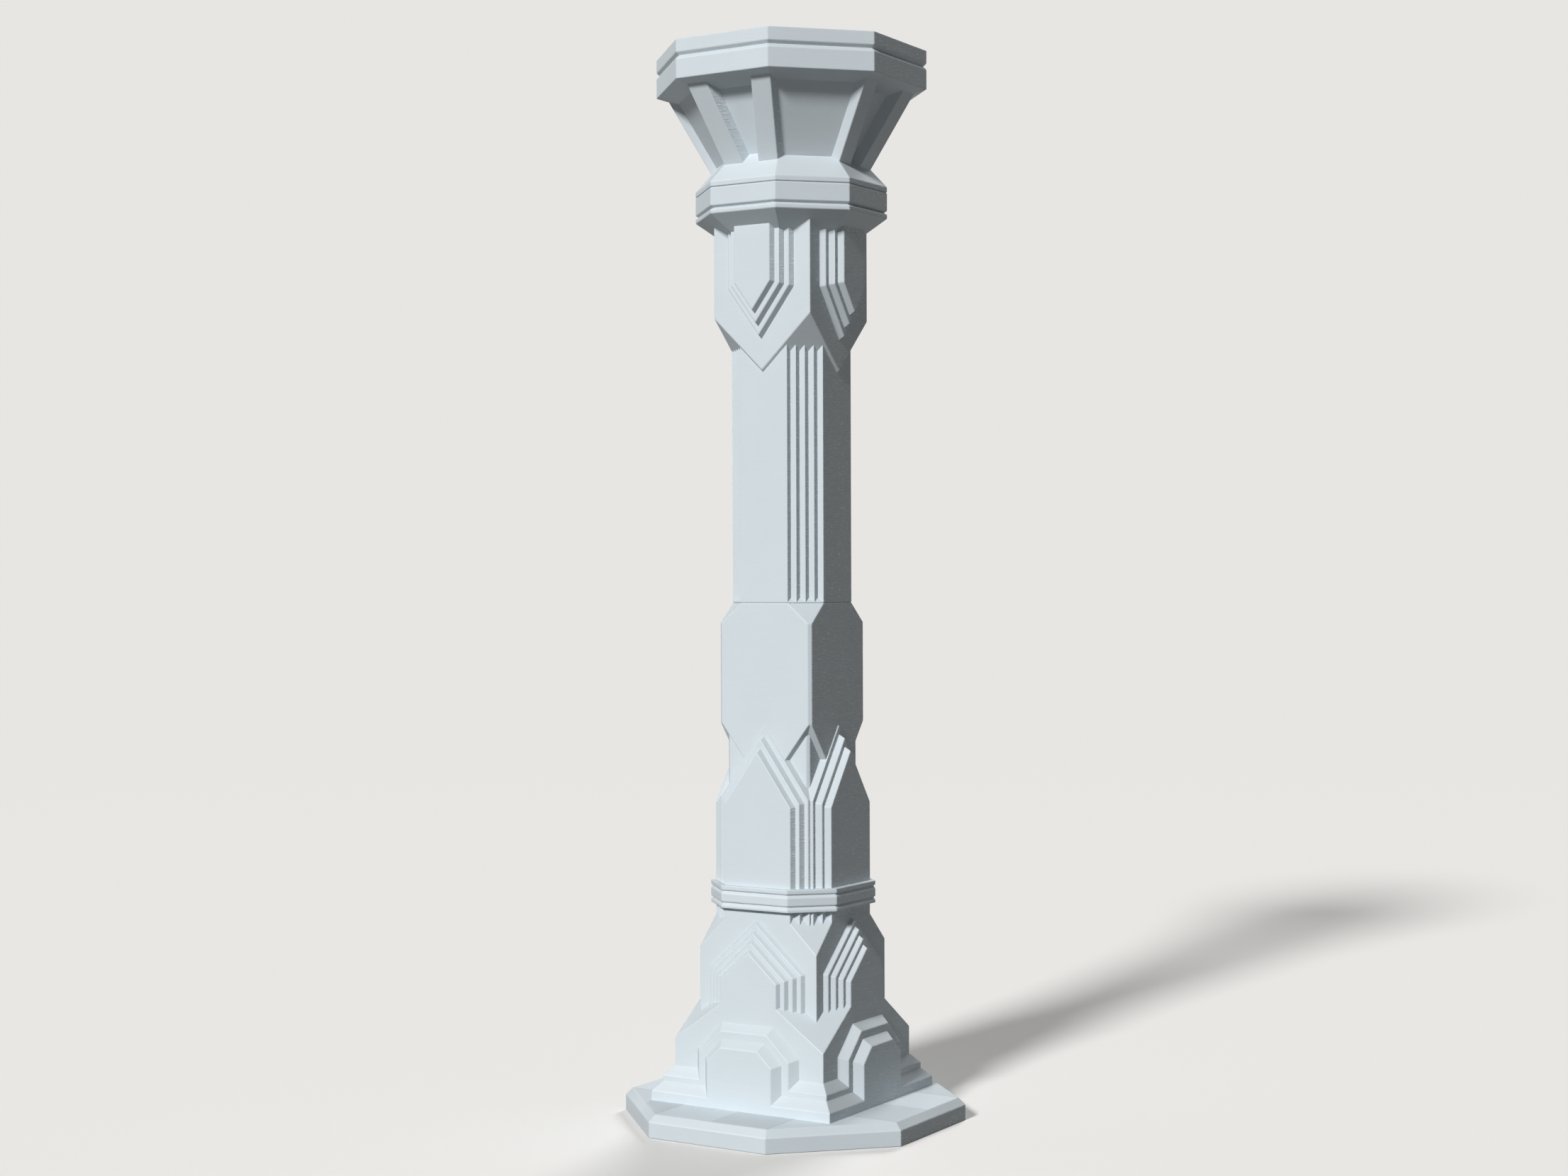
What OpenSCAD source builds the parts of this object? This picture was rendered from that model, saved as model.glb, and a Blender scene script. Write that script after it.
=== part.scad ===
// Decorative column, made in two sections that stand one on the other.
// Z is up, and the origin is the centre of the underside of the base plate.
// All four sides are alike: faces look along X and Y, corners along the diagonals.

/* [Shaft] */
// Width of the shaft across its flat faces
shaft_w = 46; // [40:0.5:56]
// Height from the joint between the sections to the lower corners of the shield block
shaft_h = 122.5; // [95:0.5:160]
// Width that each fluted corner takes off a face
corner_w = 11.1; // [8:0.1:14]
// Number of flutes at each corner
flutes = 4; // [2:1:6]
// Bevel round both sections where they meet
joint_edge = 0.3; // [0.1:0.1:0.6]

/* [Base plate] */
// Distance of the plate's octagonal rim outside the foot
plate_reach = 24.6; // [20:0.1:32]
// Height of the plate's upright edge
plate_edge_h = 6.6; // [4:0.1:10]
// Height of the bevel above the upright edge
plate_bevel_h = 3.05; // [1:0.05:5]
// Width of that bevel
plate_bevel_w = 2.85; // [1:0.05:4]

/* [Foot] */
// Width of each step of the foot
foot_step_w = 3.725; // [2.5:0.005:5]
// Height of the upright edge of the lowest step
foot_edge_h = 4.05; // [2.5:0.05:6]
// Height of the sloping ledge above each step
foot_ledge_h = 4; // [2:0.1:5.5]
// Height of the upright edge of the second step
foot_riser_h = 2.4; // [1:0.1:4]
// Upright height of the foot's corners above the steps
foot_corner_h = 12; // [9:0.1:16]

/* [Arches on the foot] */
// Distance from the outer arch to the edge of the foot
arch_margin = 14.8; // [11:0.1:18]
// Height of the outer arch above the steps
arch_h = 17.85; // [15:0.05:21]
// Height of the outer arch's upright sides above the steps
arch_side_h = 7.4; // [5:0.1:9]
// Rise of the arch's slanting shoulders for each unit across
arch_slope = 0.963; // [0.8:0.001:1.2]
// Distance of the inner arch's sides inside the outer arch
arch_inset = 6.4; // [5:0.1:8]
// Distance of the inner arch's top below the outer arch
arch_drop = 6.45; // [5:0.05:8]
// Distance of the inner arch's shoulders below the outer arch's
arch_side_drop = 2.5; // [1.5:0.1:3.5]
// Spread of the arch's slanting walls for each unit of their depth
arch_draft = 0.84; // [0.5:0.01:1]

/* [Gabled block] */
// Height of the block's upright corners above those of the foot
block_h = 39; // [32:0.5:47]
// Rise of the planes that cut the block's upper corners
block_slope = 1.365; // [1.1:0.005:1.6]
// Distance from the lowest chevron to the edge of the block
chevron_margin = 6.55; // [5:0.05:8]
// Number of chevrons, one on the other
chevrons = 4; // [2:1:4]
// Thickness of each chevron
chevron_t = 1.965; // [1.6:0.005:2.4]
// Distance of each chevron's sides inside the one beneath
chevron_inset = 2.9; // [2.4:0.05:3.5]
// Height of the lowest chevron's peak above the block's upright corners
chevron_peak_h = 11.6; // [9:0.1:14]
// Distance of each chevron's peak below the one beneath
chevron_drop = 3.77; // [3:0.01:4.5]
// Rise of the chevrons for each unit across
chevron_slope = 0.895; // [0.7:0.005:1.1]
// Spread of the chevrons' walls for each unit of their depth
chevron_draft = 0.53; // [0.1:0.01:0.7]

/* [Collar] */
// Height of the stepped stem from the block's upright corners to the collar
stem_h = 17.4; // [14:0.1:21]
// Width of the stem's front step
stem_face_w = 32.8; // [28:0.1:38]
// Difference in width between the stem's steps
stem_inset = 3.2; // [2.6:0.1:3.8]
// Thickness of each step of the stem
stem_t = 2.62; // [2.2:0.01:3.1]
// Height of the collar
collar_h = 9.7; // [8:0.1:12]
// Distance of the collar outside the gables
collar_reach = 2.6; // [1.5:0.05:4]
// Width that each corner takes off a face of the collar
collar_corner_w = 15.3; // [12:0.1:18]
// Distance of the two grooves from the middle of the collar
collar_groove_at = 2.5; // [2:0.05:3]
// Mouth of each groove
collar_groove_w = 1.6; // [1:0.05:2.4]
// Share of that mouth below the bottom of the groove
collar_groove_share = 0.7; // [0.5:0.05:0.8]
// Depth of each groove
collar_groove_d = 0.75; // [0.3:0.05:1.2]

/* [Gables] */
// Number of gables, one on the other
gables = 3; // [2:1:3]
// Distance of the first gable in front of the shaft's face
gable_proud = 0.5; // [0.3:0.05:1]
// Thickness of each gable above the first
gable_t = 2.85; // [2.3:0.05:3.4]
// Distance of the first gable's sides inside the shaft's width
gable_margin = 1.1; // [0.6:0.05:2]
// Distance of each gable's sides inside the one beneath
gable_inset = 2.7; // [2.2:0.05:3.3]
// Height of the first gable's peak above the collar
gable_h = 67.8; // [57:0.2:80]
// Distance of each gable's peak below the one beneath
gable_drop = 5.3; // [4:0.1:6.5]
// Rise of the gables for each unit across
gable_slope = 1.4; // [1.1:0.01:1.7]
// Spread of the gables' walls for each unit of their depth
gable_draft = 0.33; // [0.1:0.01:0.36]
// Distance of the neck's faces behind the shaft's
neck_inset = 2.5; // [1.5:0.1:3]
// Width that each corner takes off a face of the neck
neck_corner_w = 1.2; // [0.6:0.1:2]

/* [Middle block] */
// Height of the middle block's lower corners above the collar
neck_h = 68.7; // [60:0.1:82]
// Upright height of the middle block at its corners
middle_h = 43.2; // [30:0.2:55]
// Height of the planes that cut its upper corners
middle_top_h = 8.4; // [6:0.1:11]
// Width that each corner takes off a face of the middle block
middle_corner_w = 1.35; // [0.6:0.05:3]
// Rise of the block's pointed lower edges for each unit across
middle_slope = 1.3; // [1:0.01:1.6]
// Spread of the walls under those edges for each unit of their depth
middle_draft = 0.32; // [0.1:0.01:0.5]

/* [Shield block] */
// Distance of the shield block's faces outside the shaft's
shield_proud = 1.15; // [0.8:0.05:2]
// Rise of the planes that cut the block's lower corners
shield_block_slope = 1.35; // [1.1:0.005:1.6]
// Height from the block's lower corners to the ring
shield_h = 42.9; // [36:0.1:51]
// Number of shields, one on the other
shields = 3; // [2:1:3]
// Distance from the first shield to the edge of the block
shield_margin = 8.91; // [7:0.01:10.7]
// Thickness of each shield
shield_t = 2.6; // [2.1:0.05:3.2]
// Distance of each shield's sides inside the one beneath
shield_inset = 3.19; // [2.6:0.01:3.8]
// Distance of the first shield's point below the block's lower corners
shield_point_h = 8.5; // [6:0.1:10]
// Distance of each shield's point above the one beneath
shield_lift = 5.15; // [4.2:0.05:6.2]
// Rise of the shields' lower edges for each unit across
shield_slope = 1.335; // [1.1:0.005:1.6]
// Spread of the shields' walls for each unit of their depth
shield_draft = 0.38; // [0.1:0.01:0.5]

/* [Ring] */
// Distance of the ring outside the shield block
ring_reach = 14.75; // [12:0.05:18]
// Rise of the ring's underside for each unit outwards
ring_under_slope = 0.752; // [0.6:0.002:0.9]
// Height of the ring's upright edge
ring_h = 13.55; // [11:0.05:16]
// Height of the lower groove's middle above the ring's lower edge
ring_groove_at = 2.5; // [1.6:0.05:3.2]
// Mouth of the lower groove
ring_groove_w = 1.55; // [0.8:0.05:2.2]
// Depth of the lower groove
ring_groove_d = 1.3; // [0.5:0.05:2]
// Distance of the upper line's middle below the ring's upper edge
ring_line_at = 2.4; // [1.5:0.05:3.5]
// Mouth of the upper line
ring_line_w = 0.5; // [0.3:0.05:1]
// Depth of the upper line
ring_line_d = 0.7; // [0.3:0.05:1.2]
// Height of the slope above the ring
ring_top_h = 7.6; // [6:0.05:9.5]
// Width of the slope above the ring
ring_top_w = 6.47; // [5:0.01:8]

/* [Bell] */
// Height of the bell
bell_h = 32.2; // [26:0.1:39]
// Distance that the bell's faces lean outwards over that height
bell_flare = 17.4; // [14:0.1:21]
// Depth of the recess between the ribs of a face
recess_d = 5.5; // [3:0.1:6.5]
// Depth of the recess across each corner
corner_recess_d = 3.1; // [2:0.1:4]
// Width of each rib
rib_w = 9.5; // [7:0.1:11]
// Spread of a rib's inner wall for each unit of its depth
rib_inner_draft = 0.38; // [0.1:0.01:0.5]
// Spread of a rib's outer wall for each unit of its depth
rib_outer_draft = 0.06; // [0.01:0.01:0.2]

/* [Abacus] */
// Distance of the abacus outside the top of the bell
abacus_reach = 5; // [3.5:0.1:7]
// Height from the inner to the outer edge of its sloping underside
abacus_under_h = 1.75; // [0.5:0.05:3]
// Height of the abacus's upright edge
abacus_h = 16.7; // [13:0.1:21]
// Distance of the groove's middle below the top
abacus_groove_at = 6.9; // [5:0.1:9]
// Mouth of the groove
abacus_groove_w = 2.6; // [1:0.1:4]
// Depth of the groove
abacus_groove_d = 1.3; // [0.5:0.1:2]

/* [Hidden] */

// Sides of a square, of a square turned to the corners, and of an octagon
FACES = [0, 90];
CORNERS = [45, 135];
OCTAGON = [0, 45, 90, 135];
TURNS = [0, 90, 180, 270];
half_octant = 22.5;

// How far one shape runs into the shape that carries it
bury = 1;
// Length of a crossing prism for each unit of its width
prism_share = 3;

// Distances from the axis to the faces
shaft_half = shaft_w / 2;
neck_half = shaft_half - neck_inset;
gable_half = shaft_half - gable_margin;
gable_depth = shaft_half + gable_proud;
block_half = gable_depth + (gables - 1) * gable_t;
collar_half = block_half + collar_reach;
foot_half = block_half + chevrons * chevron_t;
rim_half = foot_half + 2 * foot_step_w;
plate_half = rim_half + plate_reach;
shield_half = shaft_half + shield_proud;
ring_half = shield_half + ring_reach;
bell_half = ring_half - ring_top_w;
bell_top_half = bell_half + bell_flare;
abacus_half = bell_top_half + abacus_reach;

// Heights above the underside
plate_z = plate_edge_h + plate_bevel_h;
steps_z = plate_z + foot_edge_h + foot_riser_h + 2 * foot_ledge_h;
foot_z = steps_z + foot_corner_h;
block_z = foot_z + block_h;
collar_z = block_z + stem_h;
collar_top_z = collar_z + collar_h;
middle_z = collar_top_z + neck_h;
middle_top_z = middle_z + middle_h;
joint_z = middle_top_z + middle_top_h + joint_edge;
shield_z = joint_z + shaft_h;
ring_z = shield_z + shield_h;
ring_edge_z = ring_z + ring_h;
bell_z = ring_edge_z + ring_top_h;
soffit_z = bell_z + bell_h;
abacus_z = soffit_z + abacus_under_h;
top_z = abacus_z + abacus_h;

// Distances from the axis to the corner planes
shaft_corner = diagonal(shaft_half, corner_w);
middle_corner = diagonal(shaft_half, middle_corner_w);
flute_w = corner_w / flutes;
flute_d = flute_w / sqrt(2);

// Distance from the axis to the plane that cuts `cut` off each face of a square
function diagonal(half, cut) = (2 * half - cut) / sqrt(2);

// Upright profile with V grooves whose bottoms lie at the given heights, as [distance, height]
function grooved(distance, low, high, grooves, mouth, depth, share_below = 0.5) = concat(
    [[distance, low]],
    [for (z = grooves) each [
        [distance, z - share_below * mouth],
        [distance - depth, z],
        [distance, z + (1 - share_below) * mouth]
    ]],
    [[distance, high]]
);

// Distance between the tips of two parallel pairs of edges that lie `grow` apart
function tip_shift(slope, grow) = grow * sqrt(1 + slope * slope);

// Outlines on a face, as [across, height], with every edge moved outwards by `grow`
function gable(half, peak, slope, floor_z, grow) = let (
    side = half + grow,
    tip = peak + tip_shift(slope, grow),
    eaves = tip - slope * side
) [[-side, floor_z], [side, floor_z], [side, eaves], [0, tip], [-side, eaves]];

function shield(half, point, slope, roof_z, grow) = let (
    side = half + grow,
    tip = point - tip_shift(slope, grow),
    eaves = tip + slope * side
) [[0, tip], [side, eaves], [side, roof_z], [-side, roof_z], [-side, eaves]];

function arch(half, top, shoulder, floor_z, grow) = let (
    side = half + grow,
    roof = top + grow,
    eaves = shoulder + tip_shift(arch_slope, grow) - arch_slope * grow,
    flat = side - (roof - eaves) / arch_slope
) [[-side, floor_z], [side, floor_z], [side, eaves], [flat, roof], [-flat, roof], [-side, eaves]];

// Right-hand half of one side of the bell, from its recess round the rib to the corner recess
function rib(face_half) = let (
    corner = face_half * tan(half_octant),
    wall_d = corner_recess_d * sqrt(2) / (1 - rib_outer_draft)
) [
    [corner - rib_w - rib_inner_draft * recess_d, recess_d - face_half],
    [corner - rib_w, -face_half],
    [corner, -face_half],
    [corner + rib_outer_draft * wall_d, wall_d - face_half]
];

// Points mirrored left to right, and points turned about the axis
function mirrored(plan) = [for (i = [len(plan) - 1 : -1 : 0]) [-plan[i][0], plan[i][1]]];
function turned(plan, angle) = [
    for (point = plan) [
        point[0] * cos(angle) - point[1] * sin(angle),
        point[0] * sin(angle) + point[1] * cos(angle)
    ]
];

// Plan of the whole bell where its ribs lie at the given distance from the axis
function bell_plan(face_half) = [
    for (turn = TURNS)
        each turned(concat(mirrored(rib(face_half)), rib(face_half)), turn)
];

// Outlines set in space, on the face that looks along -Y or at a height
function on_face(outline, depth) = [for (point = outline) [point[0], -depth, point[1]]];
function at_height(plan, z) = [for (point = plan) [point[0], point[1], z]];

// Upright solid with a pair of sides across each direction, which follow the profile
module sided(profile, directions) {
    widest = max([for (point = profile) point[0]]);
    intersection_for (direction = directions)
        rotate([90, 0, direction])
            linear_extrude(height = prism_share * widest, center = true)
                polygon(concat(profile, mirrored(profile)));
}

// Box around the axis between two heights
module slab(half_x, half_y, low, high) {
    translate([-half_x, -half_y, low])
        cube([2 * half_x, 2 * half_y, high - low]);
}

// Solid between two outlines with the same number of points
module loft(back, front) {
    count = len(back);
    sides = [for (i = [0 : count - 1]) [i, count + i, count + (i + 1) % count, (i + 1) % count]];
    back_cap = [for (i = [0 : count - 1]) i];
    front_cap = [for (i = [count - 1 : -1 : 0]) count + i];
    polyhedron(points = concat(back, front), faces = concat(sides, [back_cap, front_cap]));
}

// The same relief on all four faces
module relief(back, back_depth, front, front_depth) {
    for (turn = TURNS)
        rotate([0, 0, turn])
            loft(on_face(back, back_depth), on_face(front, front_depth));
}

module base_plate() {
    sided([
        [plate_half, 0],
        [plate_half, plate_edge_h],
        [plate_half - plate_bevel_w, plate_z]
    ], OCTAGON);
}

// Two steps, and above them the foot with a plane across each corner
module foot() {
    riser_z = plate_z + foot_edge_h + foot_ledge_h;
    chevron_front_half = block_half - chevron_margin - (chevrons - 1) * chevron_inset;
    shoulder_end = (foot_half + chevron_front_half) / sqrt(2);
    corner = diagonal(foot_half, 0);
    high = foot_z + corner - shoulder_end + bury;
    intersection() {
        sided([
            [rim_half, plate_z - bury],
            [rim_half, plate_z + foot_edge_h],
            [rim_half - foot_step_w, riser_z],
            [rim_half - foot_step_w, riser_z + foot_riser_h],
            [foot_half, steps_z],
            [foot_half, high]
        ], FACES);
        sided([[corner + foot_z, 0], [corner + foot_z - high, high]], CORNERS);
    }
}

// An arch flush with each of the two steps, the smaller one in front
module arches() {
    for (i = [0, 1]) {
        half = foot_half - arch_margin - i * arch_inset;
        top = steps_z + arch_h - i * arch_drop;
        shoulder = steps_z + arch_side_h - i * arch_side_drop;
        front = foot_half + (i + 1) * foot_step_w;
        back = front - foot_step_w - bury;
        grow = arch_draft * (front - back);
        floor_z = plate_z + (i == 0 ? foot_edge_h + foot_ledge_h : foot_edge_h / 2);
        relief(
            arch(half, top, shoulder, floor_z, grow), back,
            arch(half, top, shoulder, floor_z, 0), front
        );
    }
}

module gabled_block() {
    corner = diagonal(block_half, 0);
    high = collar_z + bury;
    intersection() {
        sided([[block_half, foot_z], [block_half, high]], FACES);
        sided([
            [corner + (block_z - foot_z) / block_slope, foot_z],
            [corner - (high - block_z) / block_slope, high]
        ], CORNERS);
    }
}

module chevron_stack() {
    for (i = [0 : chevrons - 1]) {
        half = block_half - chevron_margin - i * chevron_inset;
        peak = block_z + chevron_peak_h - i * chevron_drop;
        front = block_half + (i + 1) * chevron_t;
        back = front - chevron_t - bury;
        grow = chevron_draft * (front - back);
        relief(
            gable(half, peak, chevron_slope, foot_z + bury, grow), back,
            gable(half, peak, chevron_slope, foot_z + bury, 0), front
        );
    }
}

// Stepped stem that carries the collar
module stem() {
    for (i = [0 : gables - 1], turn = FACES)
        rotate([0, 0, turn])
            slab(
                stem_face_w / 2 + i * stem_inset, block_half - i * stem_t,
                block_z, collar_z + bury
            );
}

module collar() {
    middle = collar_z + collar_h / 2;
    grooves = [middle - collar_groove_at, middle + collar_groove_at];
    distances = [collar_half, diagonal(collar_half, collar_corner_w)];
    intersection_for (i = [0, 1])
        sided(grooved(
            distances[i], collar_z, collar_top_z, grooves,
            collar_groove_w, collar_groove_d, collar_groove_share
        ), [FACES, CORNERS][i]);
}

module neck() {
    low = collar_top_z - bury;
    high = middle_z + bury;
    corner = diagonal(neck_half, neck_corner_w);
    intersection() {
        sided([[neck_half, low], [neck_half, high]], FACES);
        sided([[corner, low], [corner, high]], CORNERS);
    }
}

module gable_stack() {
    for (i = [0 : gables - 1]) {
        half = gable_half - i * gable_inset;
        peak = collar_top_z + gable_h - i * gable_drop;
        front = gable_depth + i * gable_t;
        back = (i == 0 ? neck_half : front - gable_t) - bury;
        grow = gable_draft * (front - back);
        relief(
            gable(half, peak, gable_slope, collar_top_z - bury, grow), back,
            gable(half, peak, gable_slope, collar_top_z - bury, 0), front
        );
    }
}

// Square block with pointed lower edges, bevelled to meet the fluted corners above
module middle_block() {
    point_z = middle_z - middle_slope * (shaft_half - middle_corner_w);
    front = shaft_half + bury;
    back = -bury;
    half = front + bury;
    intersection() {
        sided([
            [shaft_half, collar_top_z],
            [shaft_half, joint_z - joint_edge],
            [shaft_half - joint_edge, joint_z]
        ], FACES);
        sided([
            [middle_corner, collar_top_z],
            [middle_corner, middle_top_z],
            [shaft_corner, joint_z - joint_edge],
            [shaft_corner - joint_edge, joint_z]
        ], CORNERS);
        relief(
            shield(half, point_z, middle_slope, joint_z + bury, middle_draft * (shaft_half - back)),
            back,
            shield(half, point_z, middle_slope, joint_z + bury, -middle_draft * bury),
            front
        );
    }
}

// Shaft with right-angled flutes, which end in ramps just above the joint
module shaft() {
    low = joint_z + joint_edge;
    ramp_z = low + flute_d;
    flat_half = shaft_half - corner_w;
    intersection() {
        sided([
            [shaft_half - joint_edge, joint_z],
            [shaft_half, low],
            [shaft_half, ramp_z]
        ], FACES);
        sided([
            [shaft_corner - joint_edge, joint_z],
            [shaft_corner, low],
            [shaft_corner - flute_d, ramp_z]
        ], CORNERS);
    }
    for (i = [0 : flutes])
        slab(flat_half + i * flute_w, shaft_half - i * flute_w, low, shield_z + bury);
}

module shield_block() {
    corner = diagonal(shield_half, 0);
    inner_corner = (shaft_half - bury) / sqrt(2);
    low = shield_z - shield_block_slope * (corner - inner_corner);
    high = ring_z + bury;
    intersection() {
        sided([[shield_half, low], [shield_half, high]], FACES);
        sided([
            [inner_corner, low],
            [corner + (high - shield_z) / shield_block_slope, high]
        ], CORNERS);
    }
}

module shield_stack() {
    for (i = [0 : shields - 1]) {
        half = shield_half - shield_margin - i * shield_inset;
        point = shield_z - shield_point_h + i * shield_lift;
        front = shield_half + (i + 1) * shield_t;
        back = front - shield_t - bury;
        grow = shield_draft * (front - back);
        relief(
            shield(half, point, shield_slope, ring_z + bury, grow), back,
            shield(half, point, shield_slope, ring_z + bury, 0), front
        );
    }
}

// Grooved ring between a spreading underside and a slope up to the bell
module ring() {
    inner_half = shaft_half - bury;
    groove_z = ring_z + ring_groove_at;
    line_z = ring_edge_z - ring_line_at;
    upright_z = (groove_z + line_z) / 2;
    top_slope = ring_top_h / ring_top_w;
    core_half = bell_half - recess_d - bury;
    sided(concat(
        [[inner_half, ring_z - ring_under_slope * (ring_half - inner_half)]],
        grooved(ring_half, ring_z, upright_z, [groove_z], ring_groove_w, ring_groove_d),
        grooved(ring_half, upright_z + bury, ring_edge_z, [line_z], ring_line_w, ring_line_d),
        [[core_half, ring_edge_z + top_slope * (ring_half - core_half)]]
    ), OCTAGON);
}

// Spreading bell with a rib on each side of the recess in every face
module bell() {
    flare = bell_flare / bell_h;
    low = ring_edge_z + bury;
    high = abacus_z + bury;
    low_half = bell_half - flare * (bell_z - low);
    high_half = bell_half + flare * (high - bell_z);
    loft(at_height(bell_plan(low_half), low), at_height(bell_plan(high_half), high));
}

module abacus() {
    inner_half = bell_top_half - recess_d - bury;
    under_slope = abacus_under_h / abacus_reach;
    sided(concat(
        [[inner_half, abacus_z - under_slope * (abacus_half - inner_half)]],
        grooved(
            abacus_half, abacus_z, top_z,
            [top_z - abacus_groove_at], abacus_groove_w, abacus_groove_d
        )
    ), OCTAGON);
}

module lower_section() {
    color("LightSteelBlue") {
        base_plate();
        foot();
        arches();
        gabled_block();
        chevron_stack();
        stem();
        collar();
        neck();
        gable_stack();
        middle_block();
    }
}

module upper_section() {
    color("LightSteelBlue") {
        shaft();
        shield_block();
        shield_stack();
        ring();
        bell();
        abacus();
    }
}

lower_section();
upper_section();
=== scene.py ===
import math
import random

import bmesh
import bpy
from mathutils import Matrix, Vector
from mathutils.bvhtree import BVHTree


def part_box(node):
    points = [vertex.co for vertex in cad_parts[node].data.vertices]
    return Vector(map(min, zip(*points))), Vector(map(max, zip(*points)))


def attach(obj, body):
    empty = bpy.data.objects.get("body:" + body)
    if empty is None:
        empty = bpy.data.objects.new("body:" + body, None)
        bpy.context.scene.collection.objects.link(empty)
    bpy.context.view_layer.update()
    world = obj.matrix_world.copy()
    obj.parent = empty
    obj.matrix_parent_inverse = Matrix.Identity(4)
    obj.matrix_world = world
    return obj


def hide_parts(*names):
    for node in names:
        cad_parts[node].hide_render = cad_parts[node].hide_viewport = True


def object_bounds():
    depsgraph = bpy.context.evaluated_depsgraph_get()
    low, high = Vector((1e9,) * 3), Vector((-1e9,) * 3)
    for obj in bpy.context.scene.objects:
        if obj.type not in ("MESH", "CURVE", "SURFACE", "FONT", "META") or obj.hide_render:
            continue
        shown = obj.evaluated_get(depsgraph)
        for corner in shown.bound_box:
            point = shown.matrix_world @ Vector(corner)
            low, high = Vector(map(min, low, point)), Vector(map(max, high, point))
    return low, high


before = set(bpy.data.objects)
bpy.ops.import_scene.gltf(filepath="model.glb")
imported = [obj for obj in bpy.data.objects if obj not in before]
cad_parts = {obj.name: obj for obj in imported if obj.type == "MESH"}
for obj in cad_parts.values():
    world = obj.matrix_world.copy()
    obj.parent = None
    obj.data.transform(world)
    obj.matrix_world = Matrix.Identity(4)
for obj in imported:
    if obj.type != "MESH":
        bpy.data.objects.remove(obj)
cad_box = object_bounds()

MM = 0.001

# Half of an octagon's side, as a share of half its width
OCTAGON_CORNER = math.tan(math.pi / 8)

# Softened edges of the print
MERGE = 0.02 * MM
FLAT_ANGLE = math.radians(1)
SHARP_ANGLE = math.radians(15)
EDGE_W = 0.36 * MM
EDGE_SHARE = 0.4
EDGE_SEGMENTS = 3

# Specks that the nozzle left on the surface
SPECKS = 110
SPECK_SEED = 11
SPECK_R = (0.16 * MM, 0.36 * MM)
SPECK_SINK = 0.35
SPECK_FLAT = 0.6
BEAD_DETAIL = 1

# Blobs that stand out, as shares of the node's box: from the axis to its sides, and up it
BLOB_R = 0.4 * MM
BLOBS = {
    "lower_section": [
        (-0.33, -0.31, 0.792),
        (-0.33, -0.31, 0.803),
        (-0.33, -0.31, 0.826),
        (-0.96, -0.40, 0.043),
        (0.91, -0.06, 0.044),
        (0.93, -0.02, 0.044),
        (0.90, -0.10, 0.044),
    ],
    "upper_section": [(0.71, -0.29, 0.698), (0.71, -0.12, 0.698)],
}

# Plastic: its colour, its slow changes of tone, and its shine
PLASTIC = (0.56, 0.62, 0.655)
BASE_TONE = 0.96
CLOUD_TONE = 0.07
CLOUD_SIZE = (26 * MM, 26 * MM, 34 * MM)
ROUGHNESS = 0.42
GRAIN_ROUGHNESS = 0.12
SPECULAR = 0.4

# How far highlights are drawn out upwards, across the printed layers
STRETCH = 0.9

# Lines and grain of the print: size along X, Y and Z, height in millimetres, and change of tone
GRAIN_SIZE = (0.7 * MM, 0.7 * MM, 0.5 * MM)
GRAIN_H = 0.003
LAYER_SIZE = (30 * MM, 30 * MM, 0.42 * MM)
LAYER_H = 0.01
LAYER_TONE = 0.03
RASTER_SIZE = (0.62 * MM, 40 * MM, 40 * MM)
RASTER_H = 0.02
RASTER_TONE = 0.06

# A face counts as level where its normal leans at least this far up or down
LEVEL_LEAN = 0.97

# Ripples, which stand out on the faces that look along X, where their crests are painted lighter
# as a painted highlight
RIPPLE_SIZE = (3.2 * MM, 3.2 * MM, 0.42 * MM)
RIPPLE_RANGE = (0.5, 0.68)
RIPPLE_H = 0.18
RIPPLE_HIGHLIGHT_TONE = 0.24
RIPPLE_ON_FRONT = 0.04
RIPPLE_FOCUS = 10
SWELL_SIZE = (14 * MM, 14 * MM, 9 * MM)
SWELL_H = 1.1 * MM

# Top of the base plate, where the fill changes direction at the corners of its octagon; its
# sectors are painted lighter and darker by turns as a painted sheen
PLATE_TOP_SHARE = 0.9588
PLATE_TOP_MAX = 10.5 * MM
PLATE_LINE = (0.1 * MM, 0.35 * MM)
PLATE_LINE_H = -0.08
PLATE_LINE_TONE = -0.25
PLATE_SHEEN_TONE = -0.07

# Scraped patch low on the side of the base plate
SCRAPE_AT = 0.25
SCRAPE_R = 5 * MM
SCRAPE_CORE_R = SCRAPE_R / 3
SCRAPE_GRAIN = (0.8 * MM, 0.8 * MM, 0.6 * MM)
SCRAPE_RANGE = (0.48, 0.62)
SCRAPE_H = 0.25
SCRAPE_TONE = 0.6

# Light, floor and background
KEY_AZIMUTH = math.radians(1)
KEY_ELEVATION = math.radians(30)
KEY_SPREAD = math.radians(9)
KEY_STRENGTH = 3.6
BACK_AZIMUTH = math.radians(190)
BACK_ELEVATION = math.radians(32)
BACK_SPREAD = math.radians(20)
BACK_STRENGTH = 1.8
FILL_STRENGTH = 0.1
BACKGROUND = (0.80, 0.79, 0.77)
FLOOR = (0.825, 0.815, 0.794)
FLOOR_BOUNCE = (0.16, 0.158, 0.154)
FLOOR_R = 6
FLOOR_SIDES = 96
FLOOR_FADE = (0.6, 2.4)

# Camera, as the photograph was taken: round the object, beside its axis, and above its foot
CAMERA_AZIMUTH = math.radians(31.7)
CAMERA_DISTANCE = 1.0635
CAMERA_ASIDE = -0.0035
CAMERA_HEIGHT = 0.2354
CAMERA_PITCH = math.radians(-0.343)
CAMERA_ROLL = math.radians(-0.196)
CAMERA_LENS = 56.2
SENSOR_W = 36
CLIP_START = 0.05


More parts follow.
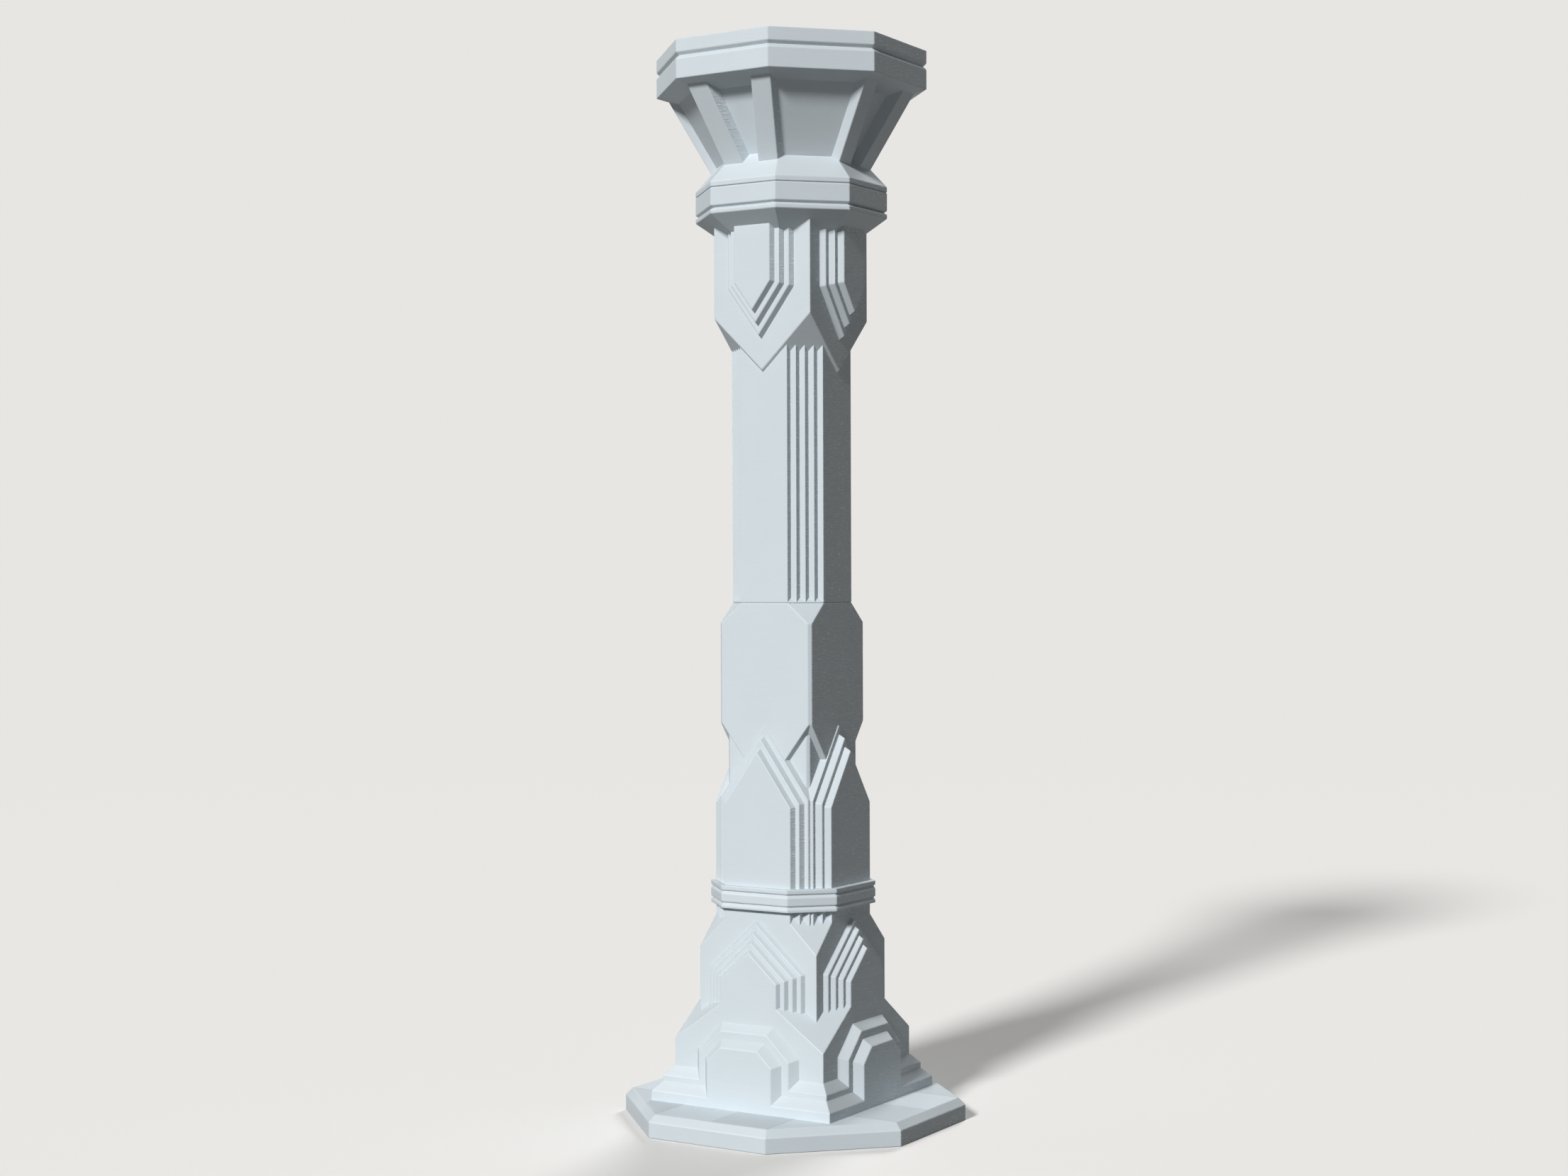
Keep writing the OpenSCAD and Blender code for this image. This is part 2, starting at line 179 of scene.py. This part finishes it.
def add(tree, kind, inputs=(), **settings):
    """A new shader node, with values or other nodes' outputs on its inputs."""
    node = tree.nodes.new("ShaderNode" + kind)
    for name, value in settings.items():
        setattr(node, name, value)
    for name, value in dict(inputs).items():
        if isinstance(value, bpy.types.NodeSocket):
            tree.links.new(value, node.inputs[name])
        else:
            node.inputs[name].default_value = value
    return node


def calc(tree, operation, *values):
    """The result of one sum on numbers or sockets."""
    return add(tree, "Math", enumerate(values), operation=operation).outputs[0]


def total(tree, start, parts):
    """The start value plus each part times its weight."""
    for value, weight in parts:
        start = calc(tree, "MULTIPLY_ADD", value, weight, start)
    return start


def place_of(tree, x, y, z):
    """A place made of three sockets or numbers."""
    return add(tree, "CombineXYZ", {0: x, 1: y, 2: z}).outputs[0]


def noise(tree, place, size, detail=2):
    """Noise from 0 to 1 with grains of about this size along X, Y and Z."""
    cells = add(
        tree, "VectorMath", {0: place, 1: [1 / length for length in size]}, operation="MULTIPLY"
    )
    inputs = {"Vector": cells.outputs[0], "Scale": 1, "Detail": detail}
    return add(tree, "TexNoise", inputs).outputs["Fac"]


def ramp(tree, value, low, high, start=0.0, end=1.0):
    """The value carried smoothly from the range low..high to start..end, and held outside it."""
    inputs = {"Value": value, "From Min": low, "From Max": high, "To Min": start, "To Max": end}
    node = add(tree, "MapRange", inputs, interpolation_type="SMOOTHSTEP")
    return node.outputs["Result"]


def plate_raster(tree, x, y, z, level):
    """(tone, groove) where the fill of the base plate's top changes direction; the tone paints
    the sectors lighter and darker by turns as a painted sheen.
    """
    half = cad_box[1].x * PLATE_TOP_SHARE
    corner = half * OCTAGON_CORNER
    beyond_x = calc(tree, "SUBTRACT", calc(tree, "ABSOLUTE", x), corner)
    beyond_y = calc(tree, "SUBTRACT", calc(tree, "ABSOLUTE", y), corner)
    quadrant = calc(tree, "MULTIPLY", x, y)
    region = calc(tree, "MULTIPLY", beyond_x, beyond_y)
    tone = calc(tree, "SIGN", calc(tree, "MULTIPLY", quadrant, region))
    on_plate = calc(tree, "MULTIPLY", level, calc(tree, "LESS_THAN", z, PLATE_TOP_MAX))
    nearest = calc(
        tree, "MINIMUM", calc(tree, "ABSOLUTE", beyond_x), calc(tree, "ABSOLUTE", beyond_y)
    )
    groove = ramp(tree, nearest, *PLATE_LINE, 1, 0)
    return calc(tree, "MULTIPLY", tone, on_plate), calc(tree, "MULTIPLY", groove, on_plate)


def scraped(tree, place):
    """Rough crumbs, from 0 to 1, on the patch low on the side of the base plate."""
    half = cad_box[1].x
    centre = (half, SCRAPE_AT * half, 0)
    away = add(tree, "VectorMath", {0: place, 1: centre}, operation="DISTANCE").outputs["Value"]
    crumbs = ramp(tree, noise(tree, place, SCRAPE_GRAIN, detail=3), *SCRAPE_RANGE)
    return calc(tree, "MULTIPLY", crumbs, ramp(tree, away, SCRAPE_CORE_R, SCRAPE_R, 1, 0))


def ripples(tree, x, y, z, sideways, upright):
    """Short uneven ridges, from 0 to 1, that run level across the upright faces."""
    swell = noise(tree, place_of(tree, x, y, z), SWELL_SIZE, detail=1)
    lifted = place_of(tree, x, y, calc(tree, "MULTIPLY_ADD", swell, SWELL_H, z))
    ridges = ramp(tree, noise(tree, lifted, RIPPLE_SIZE, detail=1), *RIPPLE_RANGE)
    share = calc(tree, "POWER", calc(tree, "ABSOLUTE", sideways), RIPPLE_FOCUS)
    gain = calc(tree, "MULTIPLY", ramp(tree, share, 0, 1, RIPPLE_ON_FRONT, 1), upright)
    return calc(tree, "MULTIPLY", ridges, gain)


def fill_lines(tree, x, y, z, level):
    """The slanting lines, from 0 to 1, that fill the level faces."""
    across = calc(tree, "ADD", x, y)
    along = calc(tree, "SUBTRACT", x, y)
    lines = noise(tree, place_of(tree, across, along, z), RASTER_SIZE, detail=1)
    return calc(tree, "MULTIPLY", lines, level)


def printed_plastic(name):
    """Satin light grey-blue plastic with the ripples and lines of a print, a painted highlight
    on the ripple crests and a painted sheen on the base plate's top.
    """
    material = bpy.data.materials.new(name)
    material.use_nodes = True
    tree = material.node_tree
    tree.nodes.clear()
    coordinates = add(tree, "TexCoord")
    place = coordinates.outputs["Object"]
    x, y, z = add(tree, "SeparateXYZ", {0: place}).outputs
    sideways, _, lean = add(tree, "SeparateXYZ", {0: coordinates.outputs["Normal"]}).outputs
    level = calc(tree, "GREATER_THAN", calc(tree, "ABSOLUTE", lean), LEVEL_LEAN)
    upright = calc(tree, "SUBTRACT", 1, level)

    ripple = ripples(tree, x, y, z, sideways, upright)
    layer = calc(tree, "MULTIPLY", noise(tree, place, LAYER_SIZE, detail=1), upright)
    raster = fill_lines(tree, x, y, z, level)
    grain = noise(tree, place, GRAIN_SIZE)
    cloud = noise(tree, place, CLOUD_SIZE, detail=3)
    tone, groove = plate_raster(tree, x, y, z, level)
    scrape = scraped(tree, place)

    height = total(tree, 0, (
        (ripple, RIPPLE_H),
        (layer, LAYER_H),
        (raster, RASTER_H),
        (grain, GRAIN_H),
        (groove, PLATE_LINE_H),
        (scrape, SCRAPE_H),
    ))
    shade = total(tree, BASE_TONE, (
        (cloud, CLOUD_TONE),
        # ripple crests painted lighter: a painted highlight
        (ripple, RIPPLE_HIGHLIGHT_TONE),
        (layer, LAYER_TONE),
        (raster, RASTER_TONE),
        # base plate sectors lighter and darker by turns: a painted sheen
        (tone, PLATE_SHEEN_TONE),
        (groove, PLATE_LINE_TONE),
        (scrape, SCRAPE_TONE),
    ))
    bump = add(tree, "Bump", {"Height": height, "Distance": MM, "Strength": 1})
    colour = add(tree, "VectorMath", {0: PLASTIC, "Scale": shade}, operation="SCALE")
    shader = add(tree, "BsdfPrincipled", {
        "Base Color": colour.outputs[0],
        "Roughness": total(tree, ROUGHNESS, ((grain, GRAIN_ROUGHNESS),)),
        "Specular IOR Level": SPECULAR,
        "Anisotropic": calc(tree, "MULTIPLY", upright, STRETCH),
        "Normal": bump.outputs["Normal"],
    })
    add(tree, "OutputMaterial", {"Surface": shader.outputs[0]})
    return material


def distance_to_edge(point, edge):
    """Distance from a point to the nearest point of an edge."""
    start, end = (vertex.co for vertex in edge.verts)
    run = end - start
    share = min(1, max(0, (point - start).dot(run) / run.length_squared))
    return (point - start - share * run).length


def free_width(edge):
    """Distance from an edge to whatever else bounds its two faces."""
    width = math.inf
    for face in edge.link_faces:
        others = (vertex for vertex in face.verts if vertex not in edge.verts)
        width = min([width, *(distance_to_edge(vertex.co, edge) for vertex in others)])
        for other in face.edges:
            if set(other.verts).isdisjoint(edge.verts):
                width = min([width, *(distance_to_edge(end.co, other) for end in edge.verts)])
    return width


def soften(mesh):
    """Weighs each sharp edge, so that a bevel is narrower where the faces are narrow."""
    weight = mesh.edges.layers.float.new("bevel_weight_edge")
    for edge in mesh.edges:
        if edge.is_convex and edge.calc_face_angle(0) > SHARP_ANGLE:
            edge[weight] = min(1, EDGE_SHARE * free_width(edge) / EDGE_W)


def add_bead(mesh, place, normal, radius):
    """Adds a small flattened bead, partly sunk into the surface."""
    turn = normal.to_track_quat("Z", "Y").to_matrix().to_4x4()
    shape = Matrix.Diagonal((1, 1, SPECK_FLAT, 1))
    centre = Matrix.Translation(place - normal * radius * SPECK_SINK)
    matrix = centre @ turn @ shape
    bmesh.ops.create_icosphere(mesh, subdivisions=BEAD_DETAIL, radius=radius, matrix=matrix)


def add_specks(mesh, seed):
    """Strews small beads over the faces that lie inside the object's box."""
    rng = random.Random(seed)
    low, high = cad_box
    surface = BVHTree.FromBMesh(mesh)
    faces = list(mesh.faces)
    areas = [face.calc_area() for face in faces]
    for face in rng.choices(faces, areas, k=SPECKS):
        radius = rng.uniform(*SPECK_R)
        corners = [vertex.co for vertex in rng.sample(list(face.verts), 3)]
        shares = [rng.random() for _ in corners]
        wanted = sum((c * s for c, s in zip(corners, shares)), Vector()) / sum(shares)
        place, normal, _, _ = surface.find_nearest(wanted)
        if all(low[i] + radius < place[i] < high[i] - radius for i in range(3)):
            add_bead(mesh, place, normal, radius)


def add_blobs(mesh, node):
    """Adds the larger blobs where they cling to the node's surface."""
    low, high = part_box(node)
    surface = BVHTree.FromBMesh(mesh)
    for x, y, up in BLOBS[node]:
        wanted = Vector((x * high.x, y * high.y, low.z + up * (high.z - low.z)))
        place, normal, _, _ = surface.find_nearest(wanted)
        add_bead(mesh, place, normal, BLOB_R)


def print_of(node, slot, seed):
    """The node as it was printed: whole flat faces, softened edges and a few specks."""
    mesh = bmesh.new()
    mesh.from_mesh(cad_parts[node].data)
    bmesh.ops.remove_doubles(mesh, verts=mesh.verts, dist=MERGE)
    bmesh.ops.dissolve_limit(mesh, angle_limit=FLAT_ANGLE, verts=mesh.verts, edges=mesh.edges)
    mesh.normal_update()
    soften(mesh)
    add_blobs(mesh, node)
    add_specks(mesh, seed)
    for face in mesh.faces:
        face.smooth = False
        face.material_index = 0
    data = bpy.data.meshes.new(node + "_print")
    mesh.to_mesh(data)
    mesh.free()
    data.materials.append(printed_plastic(slot))
    piece = bpy.data.objects.new(node + "_print", data)
    bpy.context.scene.collection.objects.link(piece)
    bevel = piece.modifiers.new("softened_edges", "BEVEL")
    bevel.limit_method = "WEIGHT"
    bevel.width = EDGE_W
    bevel.segments = EDGE_SEGMENTS
    bevel.use_clamp_overlap = False
    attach(piece, "root")
    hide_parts(node)


def make_floor():
    """A pale round floor that fades into the background far from the object."""
    bpy.ops.mesh.primitive_circle_add(vertices=FLOOR_SIDES, radius=FLOOR_R, fill_type="NGON")
    floor = bpy.context.object
    floor.name = "floor"
    material = bpy.data.materials.new("floor")
    material.use_nodes = True
    tree = material.node_tree
    tree.nodes.clear()
    place = add(tree, "TexCoord").outputs["Object"]
    reach = add(tree, "VectorMath", {0: place}, operation="LENGTH").outputs["Value"]
    path = add(tree, "LightPath").outputs
    seen = calc(tree, "MAXIMUM", path["Is Camera Ray"], path["Is Glossy Ray"])
    far = calc(tree, "MULTIPLY", ramp(tree, reach, *FLOOR_FADE), seen)
    tint = add(tree, "MixRGB", {0: seen, 1: (*FLOOR_BOUNCE, 1), 2: (*FLOOR, 1)})
    matt = add(tree, "BsdfDiffuse", {"Color": tint.outputs[0]})
    glow = add(tree, "Emission", {"Color": (*BACKGROUND, 1), "Strength": 1})
    both = add(tree, "MixShader", {0: far, 1: matt.outputs[0], 2: glow.outputs[0]})
    add(tree, "OutputMaterial", {"Surface": both.outputs[0]})
    floor.data.materials.append(material)


def towards(azimuth, elevation):
    """Direction from the object, where azimuth 0 is its front, along -Y."""
    return Vector((
        math.sin(azimuth) * math.cos(elevation),
        -math.cos(azimuth) * math.cos(elevation),
        math.sin(elevation),
    ))


def add_sun(name, azimuth, elevation, spread, strength, highlights):
    """An even lamp far away in this direction, with shadows softened by its spread."""
    lamp = bpy.data.lights.new(name, "SUN")
    lamp.angle = spread
    lamp.energy = strength
    sun = bpy.data.objects.new(name, lamp)
    sun.rotation_euler = towards(azimuth, elevation).to_track_quat("Z", "Y").to_euler()
    sun.visible_glossy = highlights
    bpy.context.scene.collection.objects.link(sun)


def light_the_scene():
    """A soft key light in front, a weaker one behind, and a pale surrounding."""
    add_sun("key", KEY_AZIMUTH, KEY_ELEVATION, KEY_SPREAD, KEY_STRENGTH, True)
    add_sun("back", BACK_AZIMUTH, BACK_ELEVATION, BACK_SPREAD, BACK_STRENGTH, False)
    world = bpy.data.worlds.new("studio")
    bpy.context.scene.world = world
    world.use_nodes = True
    tree = world.node_tree
    tree.nodes.clear()
    path = add(tree, "LightPath").outputs
    seen = calc(tree, "MAXIMUM", path["Is Camera Ray"], path["Is Glossy Ray"])
    fill = add(tree, "Background", {"Color": (1, 1, 1, 1), "Strength": FILL_STRENGTH})
    backdrop = add(tree, "Background", {"Color": (*BACKGROUND, 1), "Strength": 1})
    both = add(tree, "MixShader", {0: seen, 1: fill.outputs[0], 2: backdrop.outputs[0]})
    add(tree, "OutputWorld", {"Surface": both.outputs[0]})


def place_camera():
    """The camera at the photograph's viewing angle."""
    ahead = Vector((-math.sin(CAMERA_AZIMUTH), math.cos(CAMERA_AZIMUTH), 0))
    right = Vector((math.cos(CAMERA_AZIMUTH), math.sin(CAMERA_AZIMUTH), 0))
    turn = Matrix((right, Vector((0, 0, 1)), -ahead)).transposed()
    turn = turn @ Matrix.Rotation(CAMERA_PITCH, 3, "X") @ Matrix.Rotation(CAMERA_ROLL, 3, "Z")
    data = bpy.data.cameras.new("camera")
    data.lens = CAMERA_LENS
    data.sensor_width = SENSOR_W
    data.clip_start = CLIP_START
    camera = bpy.data.objects.new("camera", data)
    place = right * CAMERA_ASIDE - ahead * CAMERA_DISTANCE
    place.z = CAMERA_HEIGHT
    camera.matrix_world = Matrix.Translation(place) @ turn.to_4x4()
    bpy.context.scene.collection.objects.link(camera)
    bpy.context.scene.camera = camera


print_of("lower_section", "lower_plastic", SPECK_SEED)
print_of("upper_section", "upper_plastic", SPECK_SEED + 1)
make_floor()
light_the_scene()
place_camera()
bpy.context.scene.view_settings.view_transform = "Standard"
